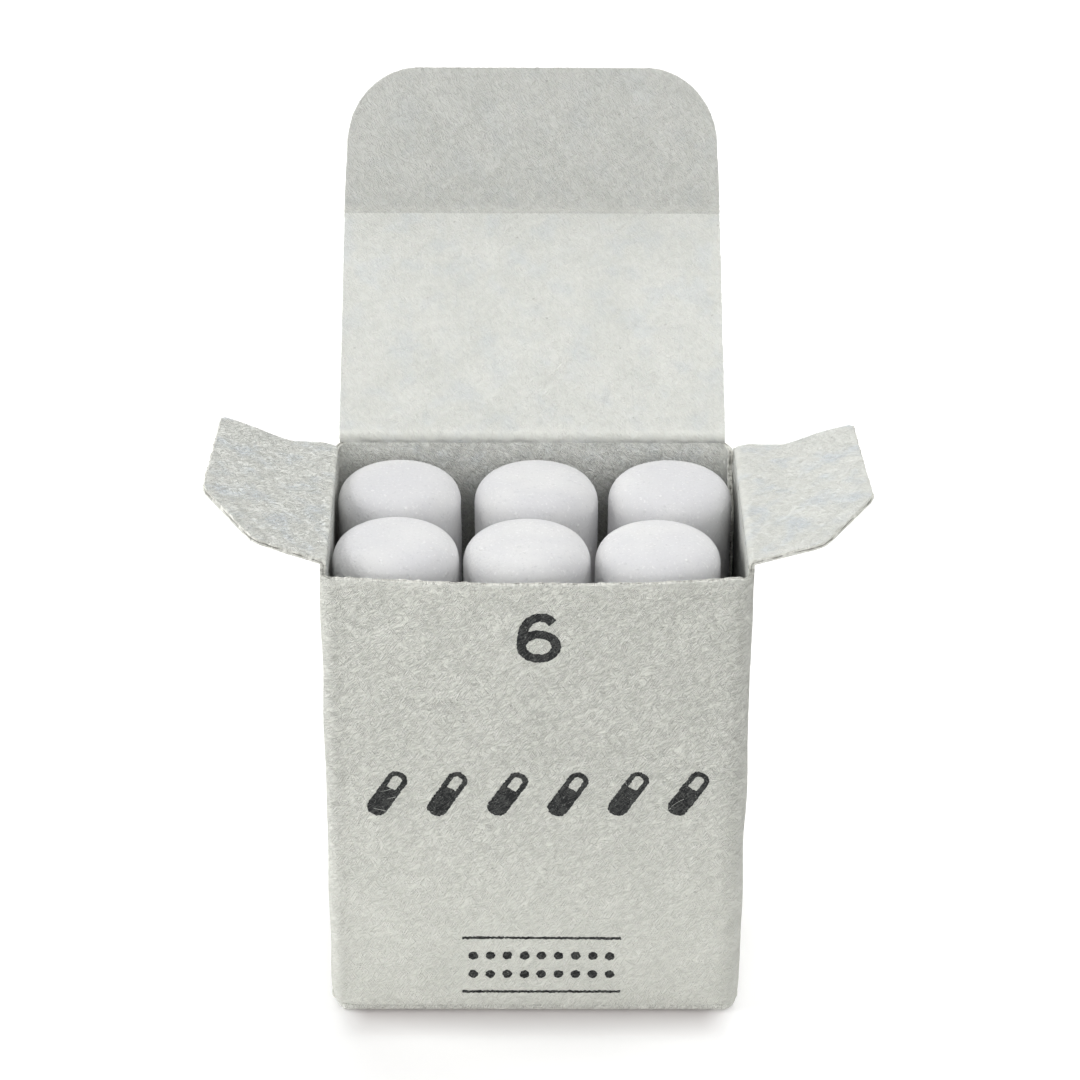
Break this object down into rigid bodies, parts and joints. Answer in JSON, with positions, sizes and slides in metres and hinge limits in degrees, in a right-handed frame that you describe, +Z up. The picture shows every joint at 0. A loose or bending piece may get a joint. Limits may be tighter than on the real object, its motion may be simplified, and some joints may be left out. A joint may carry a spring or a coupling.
{
  "type": "carton of stick erasers",
  "caption": "Open tuck-top carton of grey board with folding lid, tuck flap and dust flaps, holding round white stick erasers in two rows.",
  "frame": {"origin": "centre of the carton's underside", "axes": "+Z up; -Y towards the printed front panel; +X to the right seen from the front"},
  "size_m": [0.0414, 0.0337, 0.0525],
  "materials": {
    "board": "matt grey recycled board with visible fibres",
    "glue": "dried paper glue",
    "eraser": "matt white eraser compound"
  },
  "bodies": {
    "carton": {"front_panel": "board", "back_panel": "board", "left_side_panel": "board", "right_side_panel": "board", "corner_fold_front_left": "board", "corner_fold_front_right": "board", "corner_fold_back_left": "board", "corner_fold_back_right": "board", "glue_flap": "board", "glue_line": "glue", "bottom_dust_flap_left": "board", "bottom_dust_flap_right": "board", "bottom_dust_crease_left": "board", "bottom_dust_crease_right": "board", "front_bottom_crease": "board", "lid_crease": "board", "dust_crease_left": "board", "dust_crease_right": "board"},
    "lid": {"lid_panel": "board", "tuck_crease": "board"},
    "tuck": {"tuck_flap": "board"},
    "dust_flap_left": {"dust_flap_left": "board"},
    "dust_flap_right": {"dust_flap_right": "board"},
    "bottom": {"bottom_panel": "board", "bottom_tuck_crease": "board"},
    "bottom_tuck": {"bottom_tuck_flap": "board"},
    "eraser_front_left": {"eraser_front_left": "eraser"},
    "eraser_front_middle": {"eraser_front_middle": "eraser"},
    "eraser_front_right": {"eraser_front_right": "eraser"},
    "eraser_back_left": {"eraser_back_left": "eraser"},
    "eraser_back_middle": {"eraser_back_middle": "eraser"},
    "eraser_back_right": {"eraser_back_right": "eraser"}
  },
  "joints": [
    {"name": "lid_fold", "type": "hinge", "parent": "carton", "child": "lid", "pos_m": [0, 0.00867, 0.03314], "axis": [-1, 0, 0], "range_deg": [-143.2, 55]},
    {"name": "tuck_fold", "type": "hinge", "parent": "lid", "child": "tuck", "pos_m": [0, 0.02223, 0.04328], "axis": [-1, 0, 0], "range_deg": [-51.8, 53]},
    {"name": "dust_fold_left", "type": "hinge", "parent": "carton", "child": "dust_flap_left", "pos_m": [-0.01302, 0, 0.03275], "axis": [0, -1, 0], "range_deg": [-160, 45]},
    {"name": "dust_fold_right", "type": "hinge", "parent": "carton", "child": "dust_flap_right", "pos_m": [0.01302, 0, 0.03275], "axis": [0, 1, 0], "range_deg": [-164, 42]},
    {"name": "bottom_fold", "type": "hinge", "parent": "carton", "child": "bottom", "pos_m": [0, -0.00867, 0.00018], "axis": [-1, 0, 0], "range_deg": [0, 100]},
    {"name": "bottom_tuck_fold", "type": "hinge", "parent": "bottom", "child": "bottom_tuck", "pos_m": [0, 0.00809, 0.00018], "axis": [-1, 0, 0], "range_deg": [-38, 0]},
    {"name": "front_left_lift", "type": "slide", "parent": "carton", "child": "eraser_front_left", "axis": [0, 0, 1], "range_m": [0, 0.024]},
    {"name": "front_middle_lift", "type": "slide", "parent": "carton", "child": "eraser_front_middle", "axis": [0, 0, 1], "range_m": [0, 0.024]},
    {"name": "front_right_lift", "type": "slide", "parent": "carton", "child": "eraser_front_right", "axis": [0, 0, 1], "range_m": [0, 0.024]},
    {"name": "back_left_lift", "type": "slide", "parent": "carton", "child": "eraser_back_left", "axis": [0, 0, 1], "range_m": [0, 0.024]},
    {"name": "back_middle_lift", "type": "slide", "parent": "carton", "child": "eraser_back_middle", "axis": [0, 0, 1], "range_m": [0, 0.024]},
    {"name": "back_right_lift", "type": "slide", "parent": "carton", "child": "eraser_back_right", "axis": [0, 0, 1], "range_m": [0, 0.024]}
  ],
  "couplings": [
    {"joint": "bottom_tuck_fold", "follows": "bottom_fold", "ratio": -0.38}
  ]
}
